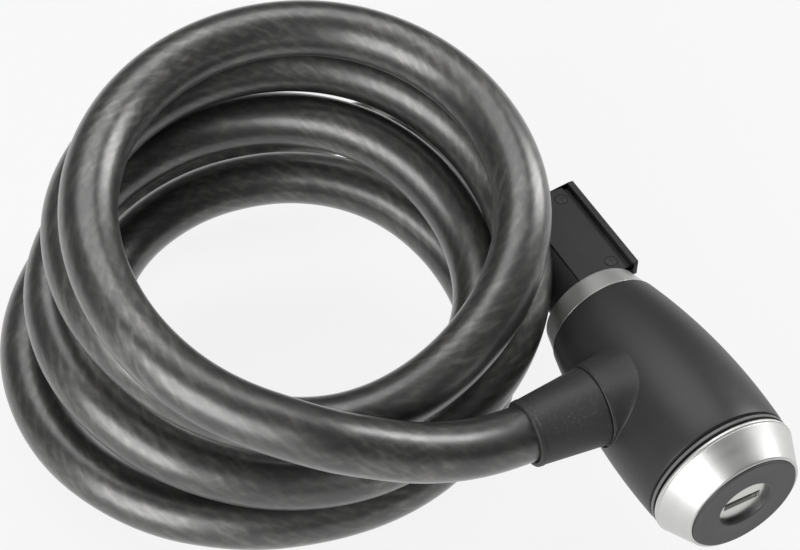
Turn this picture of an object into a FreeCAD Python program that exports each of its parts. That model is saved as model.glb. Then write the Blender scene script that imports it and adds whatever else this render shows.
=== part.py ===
import FreeCAD, Part
import Sketcher
import math
import os
from types import SimpleNamespace

# Cable lock: a barrel-shaped lock head, a thick jacketed cable wound in loose turns, and the plug on
# the cable's free end. Millimetres. The origin is the centre of the key hole in the head's face, +Y
# runs along the barrel towards the plug, and +Z is up. The cable enters the head from -X.
# The lock is modelled closed and not yet locked: the latch stands clear of the pin's groove.

Vector = FreeCAD.Vector
os.makedirs("parts", exist_ok=True)
doc = FreeCAD.newDocument("cable_lock")

# Driving dimensions
SIZES = {
    # cable
    "cable_dia": 12.0,
    "strand_dia": 7.0,
    "axis_lift": 29.0,          # height of the barrel's axis over the table
    # face and front ring
    "face_dia": 24.2,
    "face_thick": 2.2,
    "key_hole_dia": 11.6,
    "key_collar": 1.0,          # depth that the key's round collar enters
    "ring_start": 0.4,
    "ring_lip": 0.7,
    "ring_length": 7.5,
    # cover
    "seam": 0.4,
    "cover_front_dia": 32.2,
    "cover_rear_dia": 26.0,
    "cover_length": 44.7,
    "cover_bulge": 140.0,
    "cover_wall": 2.2,
    "boss_station": 31.8,       # along the barrel, where the cable enters
    "boss_lift": 5.4,           # height of the cable's entry over the barrel's axis
    "boss_stand": 0.6,          # from the cover's widest place to the boss's end face
    "boss_root": 6.0,
    "boss_end_dia": 17.4,
    "boss_root_dia": 18.2,
    # rear ring
    "rear_ring_length": 5.5,
    "rear_ring_front_dia": 25.4,
    "rear_ring_back_dia": 22.8,
    # housing and cylinder
    "housing_front_dia": 26.4,
    "housing_rear_dia": 21.4,
    "housing_step": 26.0,
    "shell_dia": 18.0,
    "core_dia": 12.6,
    "core_wall": 1.0,
    "core_start": 1.2,
    "core_front": 0.8,          # thickness of the key plug's face
    "core_length": 21.8,
    "keyway_width": 8.4,
    "keyway_height": 2.2,
    "disc_start": 8.7,
    "disc_thick": 1.6,
    "spacer_thick": 0.3,
    "disc_pitch": 2.0,
    "sidebar_width": 2.0,
    "sidebar_height": 1.5,
    "cam_dia": 17.6,
    "cam_thick": 2.5,
    "peg_dia": 2.0,
    "peg_offset": 1.0,          # sideways and downwards, so that a quarter turn lifts it twice this
    # latch
    "latch_width": 8.0,
    "latch_thick": 2.2,
    "latch_top": 3.2,
    "arm_width": 5.6,
    "arm_top": 7.8,
    "arm_bottom": 9.6,
    "arm_end": 43.0,
    "tooth_length": 3.0,
    # locking pin
    "pin_dia": 10.0,
    "pin_tip": 33.5,
    "groove_dia": 6.2,
    "pin_bore_start": 32.5,
    # fixed end of the cable
    "sleeve_reach": 32.4,
    "sleeve_cable_dia": 14.2,
    "sleeve_boss_dia": 17.0,
    "cable_seat": 12.0,         # depth of the cable in the sleeve
    "lug_dia": 13.2,            # socket on the housing's side that takes the ferrule
    "lug_depth": 1.2,           # from the boss's end face to the lug's
    "lug_root": 5.5,
    "ferrule_dia": 10.4,
    "ferrule_depth": 1.7,       # of the ferrule's end in the housing
    "ferrule_pin_dia": 1.8,
    # plug on the free end
    "plug_gap": 0.3,
    "plug_length": 33.0,
    "plug_dia": 16.0,
    "plug_end_dia": 14.4,
    "plug_taper": 6.0,
    "collar_dia": 20.0,
    "collar_length": 2.4,
    "shank_dia": 11.0,
    "shank_length": 20.0,
    "shoe_left": 2.6,           # from the plug's axis to the shoe's two long edges
    "shoe_right": 11.4,
    "shoe_length": 27.8,
    "shoe_thick": 1.6,
    "shoe_seat": 6.4,           # height of the shoe's underside over the axis
    "rail_width": 1.6,
    "rail_height": 0.9,
    "rail_groove": 1.3,
    "screw_dia": 2.6,
    "screw_place": 6.5,         # from the plug's axis to the row of screws
    "screw_spacing": 21.0,
    # clearances
    "slip": 0.05,               # running fit, on the radius
    "seat": 0.1,                # parts that are pushed together and stay
    "side": 0.2,                # sliding pieces in their pockets
}


class Size:
    """A length that carries its sheet formula and its present value."""

    def __init__(self, text, value):
        self.text = text
        self.value = value

    def __add__(self, other):
        other = as_size(other)
        return Size("(%s + %s)" % (self.text, other.text), self.value + other.value)

    def __sub__(self, other):
        other = as_size(other)
        return Size("(%s - %s)" % (self.text, other.text), self.value - other.value)

    def __mul__(self, factor):
        return Size("(%s * %s)" % (self.text, factor), self.value * factor)

    def __truediv__(self, factor):
        return Size("(%s / %s)" % (self.text, factor), self.value / factor)

    def __neg__(self):
        return Size("(0 - %s)" % self.text, -self.value)

    def __rsub__(self, other):
        return as_size(other) - self

    __radd__ = __add__
    __rmul__ = __mul__


def as_size(length):
    if isinstance(length, Size):
        return length
    return Size(repr(float(length)), float(length))


sheet = doc.addObject("Spreadsheet::Sheet", "sizes")
for row, (name, value) in enumerate(SIZES.items(), start=1):
    sheet.set("A%d" % row, name)
    sheet.set("B%d" % row, str(value))
    sheet.setAlias("B%d" % row, name)
doc.recompute()
d = SimpleNamespace(**{name: Size("sizes." + name, value) for name, value in SIZES.items()})
nodes = []


def bind(thing, prop, length):
    thing.setExpression(prop, as_size(length).text)


def node(thing, label):
    """Marks an object as one sub-part, under the name of its file."""
    thing.Label = label
    nodes.append(thing)
    return thing


# Shape helpers

ALONG = {
    "x": FreeCAD.Rotation(Vector(0, 1, 0), 90),
    "y": FreeCAD.Rotation(Vector(1, 0, 0), -90),
    "z": FreeCAD.Rotation(),
}


def place(thing, corner, rotation=None):
    thing.Placement = FreeCAD.Placement(Vector(*[as_size(v).value for v in corner]), rotation or FreeCAD.Rotation())
    for axis, length in zip("xyz", corner):
        bind(thing, "Placement.Base." + axis, length)


def rod(name, dia, length, start, along="y"):
    thing = doc.addObject("Part::Cylinder", name)
    bind(thing, "Radius", as_size(dia) / 2)
    bind(thing, "Height", length)
    place(thing, start, ALONG[along])
    return thing


def cone(name, dia_start, dia_end, length, start, along="y"):
    thing = doc.addObject("Part::Cone", name)
    bind(thing, "Radius1", as_size(dia_start) / 2)
    bind(thing, "Radius2", as_size(dia_end) / 2)
    bind(thing, "Height", length)
    place(thing, start, ALONG[along])
    return thing


def block(name, low, high):
    """A box from its low corner to its high corner."""
    thing = doc.addObject("Part::Box", name)
    for prop, a, b in zip(("Length", "Width", "Height"), low, high):
        bind(thing, prop, as_size(b) - a)
    place(thing, low)
    return thing


def join(name, pieces):
    thing = doc.addObject("Part::MultiFuse", name)
    thing.Shapes = pieces
    thing.Refine = True
    return thing


def cut(name, base, tools):
    thing = doc.addObject("Part::Cut", name)
    thing.Base = base
    thing.Tool = tools[0] if len(tools) == 1 else join(name + "_cutters", tools)
    thing.Refine = True
    return thing


def group(name, pieces):
    """Identical loose pieces that share one node as separate solids."""
    thing = doc.addObject("Part::Compound", name)
    thing.Links = pieces
    return thing


def origin_plane(body, role):
    return [f for f in body.Origin.OriginFeatures if f.Role == role][0]


# How a sketch's constraint names its own origin, and the two ends of a line
AXES, START, END = -1, 1, 2


def turned(name, corners, bulges=None):
    """A body of revolution about +Y. Corners are (diameter, station); bulges maps an edge to its arc's radius."""
    bulges = bulges or {}
    body = doc.addObject("PartDesign::Body", name)
    sketch = body.newObject("Sketcher::SketchObject", name + "_profile")
    sketch.AttachmentSupport = (origin_plane(body, "XY_Plane"), [""])
    sketch.MapMode = "FlatFace"
    points = [(as_size(dia) / 2, as_size(station)) for dia, station in corners]
    flat = [Vector(x.value, y.value, 0) for x, y in points]
    count = len(flat)
    for i in range(count):
        a, b = flat[i], flat[(i + 1) % count]
        if i in bulges:
            sketch.addGeometry(arc_between(a, b, bulges[i].value), False)
        else:
            sketch.addGeometry(Part.LineSegment(a, b), False)
    for i in range(count):
        sketch.addConstraint(Sketcher.Constraint("Coincident", i, END, (i + 1) % count, START))
    for i, (x, y) in enumerate(points):
        for kind, length in (("DistanceX", x), ("DistanceY", y)):
            k = sketch.addConstraint(Sketcher.Constraint(kind, AXES, START, i, START, length.value))
            sketch.setExpression("Constraints[%d]" % k, length.text)
    for i, radius in bulges.items():
        k = sketch.addConstraint(Sketcher.Constraint("Radius", i, radius.value))
        sketch.setExpression("Constraints[%d]" % k, radius.text)
    solid = body.newObject("PartDesign::Revolution", name + "_turned")
    solid.Profile = sketch
    solid.ReferenceAxis = (sketch, ["V_Axis"])
    solid.Angle = 360
    return body


def arc_between(a, b, radius):
    """The outward arc from a up to b, both at positive distance from the axis."""
    middle = (a + b) / 2
    half = (b - a).Length / 2
    inward = Vector(-(b - a).y, (b - a).x, 0).normalize()
    if inward.x > 0:
        inward = inward * -1
    centre = middle + inward * math.sqrt(radius ** 2 - half ** 2)
    angles = [math.atan2(p.y - centre.y, p.x - centre.x) for p in (a, b)]
    circle = Part.Circle(centre, Vector(0, 0, 1), radius)
    return Part.ArcOfCircle(circle, min(angles), max(angles))


# Stations along the barrel
ring_end = d.ring_start + d.ring_length
ring_floor = d.face_thick + d.side * 2
housing_start = ring_floor + d.side
cover_start = ring_end + d.seam
cover_end = cover_start + d.cover_length
rear_ring_end = cover_end + d.rear_ring_length
core_end = d.core_start + d.core_length
shell_end = core_end + d.side
cam_start = shell_end + d.side
cam_end = cam_start + d.cam_thick
shoulder = cam_end + d.side
pocket_start = shoulder + 2.0
latch_start = pocket_start + d.side
latch_end = latch_start + d.latch_thick
pocket_end = latch_end + d.side
plug_start = rear_ring_end + d.plug_gap
plug_end = plug_start + d.plug_length
core_bore = d.core_dia + d.slip * 2
disc_bore = d.core_dia - d.core_wall * 2
disc_dia = disc_bore - d.seat * 2
housing_bore = d.shell_dia + d.seat * 2
pin_bore = d.pin_dia + d.slip * 2
ferrule_bore = d.ferrule_dia + d.seat * 2
lug_hole_dia = d.lug_dia + d.seat * 2
boss_reach = d.cover_front_dia / 2 + d.boss_stand
lug_reach = boss_reach - d.lug_depth
ferrule_end = d.housing_rear_dia / 2 - d.ferrule_depth
latch_lift = d.peg_offset * 2

# Barrel cover: convex moulded shell, turned, with the boss that takes the cable
inner_front = d.housing_front_dia + d.seat * 2
inner_rear = d.housing_rear_dia + d.seat * 2
cover_shell = turned("cover_shell", [
    (inner_front, cover_start),
    (d.cover_front_dia, cover_start),
    (d.cover_rear_dia, cover_end),
    (inner_rear, cover_end),
    (inner_rear, d.housing_step + d.seat),
    (inner_front, d.housing_step + d.seat),
], {1: d.cover_bulge})
boss = cone("cover_boss", d.boss_end_dia, d.boss_root_dia, boss_reach - d.boss_root,
            (-boss_reach, d.boss_station, d.boss_lift), "x")
front_clear = rod("front_clear", inner_front, d.housing_step + d.seat - cover_start, (0, cover_start, 0))
rear_clear = rod("rear_clear", inner_rear, d.cover_length, (0, cover_start, 0))
boss_trimmed = cut("boss_trimmed", boss, [front_clear, rear_clear])
boss_hole = rod("boss_hole", lug_hole_dia, boss_reach + d.side - d.lug_root + d.seat,
                (-boss_reach - d.side, d.boss_station, d.boss_lift), "x")
cover = cut("barrel_cover", join("cover_whole", [cover_shell, boss_trimmed]), [boss_hole])
node(cover, "barrel_cover")

# Front ring: cone of bright metal round the key end
front_ring = turned("front_ring", [
    (d.face_dia + d.seat * 2, d.ring_start),
    (d.face_dia + d.ring_lip * 2, d.ring_start),
    (d.cover_front_dia + d.side, ring_end),
    (inner_front, ring_end),
    (inner_front, ring_floor),
    (d.face_dia + d.seat * 2, ring_floor),
])
node(front_ring, "front_ring")

# Face cap: flat dark disc with the key hole
cap_counterbore = d.core_dia + d.side * 3
face_cap = turned("face_cap", [
    (d.key_hole_dia, 0),
    (d.face_dia, 0),
    (d.face_dia, d.face_thick),
    (cap_counterbore, d.face_thick),
    (cap_counterbore, d.key_collar),
    (d.key_hole_dia, d.key_collar),
])
node(face_cap, "face_cap")

# Rear ring: short bright ring that the plug butts on
rear_ring = turned("rear_ring", [
    (pin_bore + d.side * 2, cover_end + d.seat),
    (d.rear_ring_front_dia, cover_end + d.seat),
    (d.rear_ring_back_dia, rear_ring_end),
    (pin_bore + d.side * 2, rear_ring_end),
])
node(rear_ring, "rear_ring")

# Lock housing: cast core with the cylinder's bore, the latch's pocket and the pin's bore
housing_body = turned("housing_body", [
    (housing_bore, housing_start),
    (d.housing_front_dia, housing_start),
    (d.housing_front_dia, d.housing_step),
    (d.housing_rear_dia, d.housing_step),
    (d.housing_rear_dia, cover_end),
    (pin_bore, cover_end),
    (pin_bore, d.pin_bore_start),
    (0, d.pin_bore_start),
    (0, shoulder),
    (housing_bore, shoulder),
])
half_pocket = d.latch_width / 2 + d.side
half_channel = d.arm_width / 2 + d.side
deep = d.housing_front_dia / 2
pocket = block("latch_pocket", (-half_pocket, pocket_start, -deep),
               (half_pocket, pocket_end, d.latch_top + latch_lift + d.side))
channel = block("arm_channel", (-half_channel, latch_end, -deep),
                (half_channel, d.arm_end + d.side * 2, latch_lift - d.arm_top + d.seat))
window = block("tooth_window", (-half_channel, d.arm_end - d.tooth_length - d.side * 2, -d.arm_top),
               (half_channel, d.arm_end + d.side * 2, 0))
peg_hole = rod("peg_hole", (d.peg_offset * 1.5 + d.peg_dia / 2 + d.side) * 2, 4.0, (0, shoulder - 1.0, 0))
side_bore = rod("side_bore", ferrule_bore, boss_reach - ferrule_end + d.seat,
                (-boss_reach, d.boss_station, d.boss_lift), "x")
ferrule_pin_at = (lug_reach + ferrule_end) / 2
pin_span = d.lug_dia - 0.8
cross_hole = rod("cross_hole", d.ferrule_pin_dia + d.slip * 2, d.lug_dia,
                 (-ferrule_pin_at, d.boss_station - d.lug_dia / 2, d.boss_lift), "y")
dowel_dia = 2.5
dowel_station = d.disc_start + d.disc_pitch * 3
dowel_hole = rod("dowel_hole", dowel_dia + 0.1, d.housing_front_dia / 2, (0, dowel_station, -deep), "z")
dowel_tip = d.shell_dia / 2 - 1.4
lug = rod("cable_lug", d.lug_dia, lug_reach - d.lug_root, (-lug_reach, d.boss_station, d.boss_lift), "x")
cylinder_clear = rod("cylinder_clear", housing_bore, shoulder - d.core_start, (0, d.core_start, 0))
pin_clear = rod("pin_clear", pin_bore, cover_end - d.pin_bore_start, (0, d.pin_bore_start, 0))
housing_whole = join("housing_whole", [housing_body, lug])
node(cut("lock_housing", housing_whole, [cylinder_clear, pin_clear, pocket, channel, window, peg_hole, side_bore,
                                         cross_hole, dowel_hole]), "lock_housing")

# Cylinder shell: fixed sleeve that the key plug turns in
shell_body = turned("shell_body", [
    (core_bore, housing_start),
    (d.shell_dia, housing_start),
    (d.shell_dia, shell_end),
    (core_bore, shell_end),
])
shell_dimple = rod("shell_dimple", dowel_dia + 0.1, d.shell_dia, (0, dowel_station, -dowel_tip - d.shell_dia), "z")
node(cut("cylinder_shell", shell_body, [shell_dimple]), "cylinder_shell")

# Dowel that stops the cylinder shell turning in the housing
dowel_length = d.housing_front_dia / 2 - dowel_tip - 0.3
node(rod("cylinder_pin", dowel_dia, dowel_length, (0, dowel_station, -dowel_tip - dowel_length - 0.05), "z"),
     "cylinder_pin")

# Key plug: cup that carries the discs, held behind the face cap's lip
core_floor = d.core_start + d.core_front
plug_body = turned("key_plug_body", [
    (0, d.core_start),
    (d.core_dia, d.core_start),
    (d.core_dia, core_end),
    (disc_bore, core_end),
    (disc_bore, core_floor),
    (0, core_floor),
])


def keyway(name, start, length):
    return block(name, (-d.keyway_width / 2, start, -d.keyway_height / 2),
                 (d.keyway_width / 2, as_size(start) + length, d.keyway_height / 2))


disc_count = 7
stack_length = d.disc_pitch * disc_count - (d.disc_pitch - d.disc_thick)
stack_end = d.disc_start + stack_length
bar_slot = block("bar_slot", (-d.sidebar_width / 2 - d.slip, d.disc_start, 0),
                 (d.sidebar_width / 2 + d.slip, stack_end, d.core_dia))
tang_height = 2.4
tang_length = 1.2
tang_slot = block("tang_slot", (-d.core_dia, core_end - tang_length, -tang_height / 2 - d.slip),
                  (d.core_dia, core_end + 1, tang_height / 2 + d.slip))
hinge_dia = 0.8
hinge_drop = 1.9
hinge_station = core_floor + 0.85
hinge_span = d.core_dia - 0.8
hinge_hole = rod("hinge_hole", hinge_dia + 0.1, hinge_span + 0.2,
                 (-hinge_span / 2 - 0.1, hinge_station, -hinge_drop), "x")
key_plug = cut("key_plug", plug_body,
               [keyway("plug_keyway", d.core_start - 1, d.core_front + 2), bar_slot, tang_slot, hinge_hole])
node(key_plug, "key_plug")

# Code discs and the spacers between them
notch_floor = disc_dia / 2 - 0.9
for i in range(disc_count):
    start = d.disc_start + d.disc_pitch * i
    name = "code_disc_%d" % (i + 1)
    blank = rod(name + "_blank", disc_dia, d.disc_thick, (0, start, 0))
    notch = block(name + "_notch", (-d.sidebar_width / 2 - d.side, start - 1, notch_floor),
                  (d.sidebar_width / 2 + d.side, start + d.disc_thick + 1, disc_dia))
    node(cut(name, blank, [notch, keyway(name + "_keyway", start - 1, d.disc_thick + 2)]), name)
spacers = []
for i in range(disc_count - 1):
    gap = (d.disc_pitch - d.disc_thick - d.spacer_thick) / 2
    start = d.disc_start + d.disc_pitch * i + d.disc_thick + gap
    ring = rod("spacer_blank_%d" % i, disc_dia, d.spacer_thick, (0, start, 0))
    hole = rod("spacer_hole_%d" % i, d.keyway_width + 0.4, d.spacer_thick + 2, (0, start - 1, 0))
    notch = block("spacer_notch_%d" % i, (-d.sidebar_width / 2 - d.side, start - 1, notch_floor),
                  (d.sidebar_width / 2 + d.side, start + 1, disc_dia))
    spacers.append(cut("spacer_%d" % i, ring, [hole, notch]))
node(group("disc_spacers", spacers), "disc_spacers")

# Sidebar, dropped into the discs' notches
sidebar_low = notch_floor + d.seat
node(block("sidebar", (-d.sidebar_width / 2, d.disc_start + d.seat, sidebar_low),
           (d.sidebar_width / 2, stack_end - d.seat, sidebar_low + d.sidebar_height)), "sidebar")

# Dust shutter behind the key slot, on its hinge pin
shutter_start = core_floor + d.seat
shutter_thick = 0.6
flap = block("shutter_flap", (-d.keyway_width / 2, shutter_start, -hinge_drop),
             (d.keyway_width / 2, shutter_start + shutter_thick, d.keyway_height / 2 + 0.1))
knuckle = rod("shutter_knuckle", hinge_dia + 0.7, d.keyway_width,
              (-d.keyway_width / 2, hinge_station, -hinge_drop), "x")
knuckle_hole = rod("knuckle_hole", hinge_dia + d.slip * 2, d.keyway_width * 2,
                   (-d.keyway_width, hinge_station, -hinge_drop), "x")
shutter = cut("dust_shutter", join("shutter_whole", [flap, knuckle]), [knuckle_hole])
node(shutter, "dust_shutter")
node(rod("shutter_pin", hinge_dia, hinge_span, (-hinge_span / 2, hinge_station, -hinge_drop), "x"), "shutter_pin")

# Drive cam: turns with the key plug and carries the eccentric peg
cam_disc = rod("cam_disc", d.cam_dia, d.cam_thick, (0, cam_start, 0))
tangs = block("cam_tangs", (-d.core_dia / 2 + d.seat, core_end - tang_length + d.seat, -tang_height / 2),
              (d.core_dia / 2 - d.seat, cam_start + 0.5, tang_height / 2))
tang_relief = rod("tang_relief", disc_bore, tang_length + d.side * 2, (0, core_end - tang_length, 0))
peg = rod("cam_peg", d.peg_dia, latch_end - cam_end, (-d.peg_offset, cam_end, -d.peg_offset))
node(join("drive_cam", [cam_disc, cut("cam_tangs_open", tangs, [tang_relief]), peg]), "drive_cam")

# Latch: yoke that the peg lifts, with an arm and the tooth that enters the pin's groove
yoke = block("latch_yoke", (-d.latch_width / 2, latch_start, -d.arm_bottom),
             (d.latch_width / 2, latch_end, d.latch_top))
arm = block("latch_arm", (-d.arm_width / 2, latch_start, -d.arm_bottom), (d.arm_width / 2, d.arm_end, -d.arm_top))
tooth_top = pin_bore / 2 + d.side
tooth = block("latch_tooth", (-d.arm_width / 2, d.arm_end - d.tooth_length, -d.arm_bottom),
              (d.arm_width / 2, d.arm_end, -tooth_top))
peg_reach = d.peg_offset * math.sqrt(2)
peg_slot = block("peg_slot",
                 (-peg_reach - d.peg_dia / 2 - d.side, latch_start - 1, -d.peg_offset - d.peg_dia / 2 - d.seat),
                 (d.peg_dia / 2 - d.peg_offset + d.side, latch_end + 1, d.peg_dia / 2 - d.peg_offset + d.seat))
node(cut("latch", join("latch_whole", [yoke, arm, tooth]), [peg_slot]), "latch")

# Locking pin with its groove and the shank crimped on the cable's free end
groove_start = d.arm_end - d.tooth_length - d.side * 2
groove_end = d.arm_end + d.side * 2
tip_chamfer = 1.0
shank_start = plug_start + d.collar_length
shank_end = shank_start + d.shank_length
core_socket = d.strand_dia + d.seat * 2
socket_start = shank_start + 2.0
node(turned("locking_pin", [
    (0, d.pin_tip),
    (d.pin_dia - tip_chamfer * 2, d.pin_tip),
    (d.pin_dia, d.pin_tip + tip_chamfer),
    (d.pin_dia, groove_start),
    (d.groove_dia, groove_start),
    (d.groove_dia, groove_end),
    (d.pin_dia, groove_end),
    (d.pin_dia, shank_start),
    (d.shank_dia, shank_start),
    (d.shank_dia, shank_end),
    (core_socket, shank_end),
    (core_socket, socket_start),
    (0, socket_start),
]), "locking_pin")
node(rod("free_core", d.strand_dia, plug_end - socket_start - d.seat, (0, socket_start + d.seat, 0)), "free_core")

# Plug sleeve: moulded body round the shank, with the saddle that carries the shoe
sleeve_body = turned("plug_sleeve_body", [
    (d.pin_dia + d.seat * 2, plug_start),
    (d.plug_dia, plug_start),
    (d.plug_dia, plug_end - d.plug_taper),
    (d.plug_end_dia, plug_end),
    (core_socket, plug_end),
    (core_socket, shank_end + d.side),
    (d.shank_dia + d.seat * 2, shank_end + d.side),
    (d.shank_dia + d.seat * 2, shank_start - d.seat),
    (d.pin_dia + d.seat * 2, shank_start - d.seat),
])
collar_disc = rod("collar_disc", d.collar_dia, d.collar_length, (0, plug_start, 0))
collar_flush = block("collar_flush", (-d.collar_dia, plug_start - 1, -d.collar_dia),
                     (-d.shoe_left, plug_start + d.collar_length + 1, d.collar_dia))
collar = cut("plug_collar", collar_disc, [collar_flush])
saddle_edge = d.shoe_right - d.rail_width
saddle = block("plug_saddle", (-d.shoe_left, plug_start + d.side, 0),
               (saddle_edge, plug_start + d.shoe_length, d.shoe_seat))
saddle_bore = rod("saddle_bore", d.shank_dia + d.seat * 2, d.shoe_length, (0, shank_start - d.seat, 0))
collar_bore = rod("collar_bore", d.pin_dia + d.seat * 2, d.shoe_length, (0, plug_start - 1, 0))
over_shoe = block("over_shoe", (-d.collar_dia, plug_start - 1, d.shoe_seat),
                  (d.collar_dia, plug_start + d.shoe_length + d.side, d.collar_dia))
screw_depth = 3.2
screw_start = plug_start + (d.shoe_length - d.screw_spacing) / 2
screw_stations = [screw_start, screw_start + d.screw_spacing]
screw_stem_dia = d.screw_dia - 0.8
screw_holes = [rod("screw_hole_%d" % i, screw_stem_dia + d.seat * 2, screw_depth + 1,
                   (d.screw_place, y, d.shoe_seat - screw_depth), "z")
               for i, y in enumerate(screw_stations)]
plug_whole = join("plug_whole", [sleeve_body, collar, saddle])
node(cut("plug_sleeve", plug_whole, [over_shoe, saddle_bore, collar_bore] + screw_holes), "plug_sleeve")

# Mounting shoe: flat plate with a raised rail along its outer edge, which slides into a frame bracket
shoe_low = d.shoe_seat + d.slip
shoe_top = d.shoe_seat + d.shoe_thick
shoe_end = plug_start + d.shoe_length
plate = block("shoe_plate", (-d.shoe_left, plug_start, shoe_low), (d.shoe_right, shoe_end, shoe_top))
rail = block("shoe_rail", (saddle_edge + d.seat, plug_start, d.shoe_seat - 1.6),
             (d.shoe_right, shoe_end, shoe_top + d.rail_height))
rail_groove = block("rail_groove", (saddle_edge + d.seat - d.rail_groove, plug_start - 1, shoe_top - 0.8),
                    (saddle_edge + d.seat, shoe_end + 1, shoe_top + 1))
head_depth = 0.9
sinks = [rod("screw_sink_%d" % i, d.screw_dia + d.seat * 2, 3, (d.screw_place, y, shoe_top - head_depth), "z")
         for i, y in enumerate(screw_stations)]
passages = [rod("screw_passage_%d" % i, screw_stem_dia + d.seat * 2, screw_depth + d.shoe_thick,
                (d.screw_place, y, d.shoe_seat - screw_depth), "z")
            for i, y in enumerate(screw_stations)]
shoe = cut("mounting_shoe", join("shoe_whole", [plate, rail]), [rail_groove] + sinks + passages)
node(shoe, "mounting_shoe")

# Two small screws that hold the shoe on the plug sleeve
screws = []
stem_low = d.shoe_seat - screw_depth + 0.4
for i, y in enumerate(screw_stations):
    head = rod("screw_head_%d" % i, d.screw_dia, head_depth - 0.2, (d.screw_place, y, shoe_top - head_depth + 0.05),
               "z")
    stem = rod("screw_stem_%d" % i, screw_stem_dia, shoe_top - head_depth + 0.1 - stem_low,
               (d.screw_place, y, stem_low), "z")
    screws.append(join("screw_%d" % i, [head, stem]))
node(group("shoe_screws", screws), "shoe_screws")

# Fixed end of the cable: sleeve, crimped ferrule, strand core and cross pin
cable_socket = d.cable_dia + d.seat * 2
cable_start = d.sleeve_reach - d.cable_seat
sleeve_gap = 0.1
sleeve_length = d.sleeve_reach - boss_reach - sleeve_gap
sleeve_cone = cone("sleeve_cone", d.sleeve_cable_dia, d.sleeve_boss_dia, sleeve_length,
                   (-d.sleeve_reach, d.boss_station, d.boss_lift), "x")
sleeve_socket = rod("sleeve_socket", cable_socket, d.cable_seat + d.seat,
                    (-d.sleeve_reach, d.boss_station, d.boss_lift), "x")
sleeve_bore = rod("sleeve_bore", ferrule_bore, d.sleeve_reach, (-d.sleeve_reach, d.boss_station, d.boss_lift), "x")
node(cut("cable_sleeve", sleeve_cone, [sleeve_socket, sleeve_bore]), "cable_sleeve")
ferrule_start = cable_start - d.seat
ferrule_blank = rod("ferrule_blank", d.ferrule_dia, ferrule_start - ferrule_end,
                    (-ferrule_start, d.boss_station, d.boss_lift), "x")
core_stop = ferrule_pin_at + 2.0
ferrule_socket = rod("ferrule_socket", core_socket, ferrule_start - core_stop,
                     (-ferrule_start, d.boss_station, d.boss_lift), "x")
ferrule_cross = rod("ferrule_cross", d.ferrule_pin_dia + d.slip * 2, d.lug_dia,
                    (-ferrule_pin_at, d.boss_station - d.lug_dia / 2, d.boss_lift), "y")
node(cut("fixed_ferrule", ferrule_blank, [ferrule_socket, ferrule_cross]), "fixed_ferrule")
node(rod("ferrule_pin", d.ferrule_pin_dia, pin_span,
         (-ferrule_pin_at, d.boss_station - pin_span / 2, d.boss_lift), "y"), "ferrule_pin")
node(rod("fixed_core", d.strand_dia, ferrule_start - core_stop - d.seat,
         (-ferrule_start, d.boss_station, d.boss_lift), "x"), "fixed_core")

# Cable: its route is chosen quarter turn by quarter turn, clockwise from the side that faces the viewer.
# REACH is the distance from the coil's centre, LIFT the height of the cable's centre over the table.
LEAD_POINT = (-55.6, 33.2, 12.0)     # place and heading on the way from the sleeve to the first station
LEAD_HEADING = (-20.5, 3.1, 8.0)
COIL_CENTRE = (-51.3, 86.0)
COIL_TURN = 27.4                # degrees that the first station stands clockwise of -Y
REACH = {
    "front": (51.5, 38.5, 39.2, 27, 39),
    "left": (46, 52, 58, 50, 67),
    "back": (43, 45, 37, 38, 61),
    "right": (42, 43.2, 33, 37),
}
LIFT = {
    "front": (50, 36, 18.6, 12.8, 6),
    "left": (67, 54, 37, 24, 12),
    "back": (70.5, 57.8, 46, 27, 22),
    "right": (56, 37.4, 27.8, 12),
}
SIDES = ("front", "left", "back", "right")
STATIONS = 19
LAST_SHARE = 0.82               # the last quarter turn stops short, and the tail takes over
# The tail bends from the coil's last heading into the plug's axis
TAIL_PULLS = (30, 29)           # how far each end's heading carries on
TAIL_RUNS = (10, 8)             # straight runs at the coil and at the plug
TAIL_SHARES = (0.28, 0.52, 0.76)


def station_value(table, k):
    return float(table[SIDES[k % 4]][k // 4])


def station_slope(table, k):
    """Rate of change at a station, per quarter turn."""
    first, last = max(k - 1, 0), min(k + 1, STATIONS - 1)
    return (station_value(table, last) - station_value(table, first)) / (last - first)


def between(table, k, t):
    """Smooth value a share t of the way from station k to the next."""
    a, b = station_value(table, k), station_value(table, k + 1)
    sa, sb = station_slope(table, k), station_slope(table, k + 1)
    return ((2 * t ** 3 - 3 * t ** 2 + 1) * a + (t ** 3 - 2 * t ** 2 + t) * sa
            + (3 * t ** 2 - 2 * t ** 3) * b + (t ** 3 - t ** 2) * sb)


def coil_point(k, t):
    turn = math.radians(-90 - COIL_TURN - 90 * (k + t))
    reach = between(REACH, k, t)
    return Vector(COIL_CENTRE[0] + reach * math.cos(turn), COIL_CENTRE[1] + reach * math.sin(turn),
                  between(LIFT, k, t) - d.axis_lift.value)


def coil_heading(k, t):
    """Direction of travel."""
    step = 1e-4
    return (coil_point(k, t + step) - coil_point(k, t)).normalize()


def biarc(a, start, b, end):
    """Two arcs that leave a along start, arrive at b along end, and share a tangent where they meet."""
    v = b - a
    t = start + end
    p = 2 * (1 - start.dot(end))
    q = v.dot(t)
    reach = (-q + math.sqrt(q * q + p * v.dot(v))) / p
    joint = (a + b + (start - end) * reach) / 2
    return [arc_from(a, start, joint), arc_back(joint, b, end)]


def arc_from(a, heading, b):
    """Arc that leaves a along heading and ends at b."""
    chord = b - a
    side = chord - heading * chord.dot(heading)
    if side.Length < 1e-6:
        return Part.LineSegment(a, b)
    normal = side.normalize()
    radius = chord.dot(chord) / (2 * chord.dot(normal))
    half = math.atan2(chord.dot(normal), chord.dot(heading))
    middle = a + heading * (radius * math.sin(half)) + normal * (radius * (1 - math.cos(half)))
    return Part.Arc(a, middle, b)


def arc_back(a, b, heading):
    """Arc from a that arrives at b along heading."""
    return Part.Arc(*reversed(arc_points(arc_from(b, heading * -1, a))))


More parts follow.
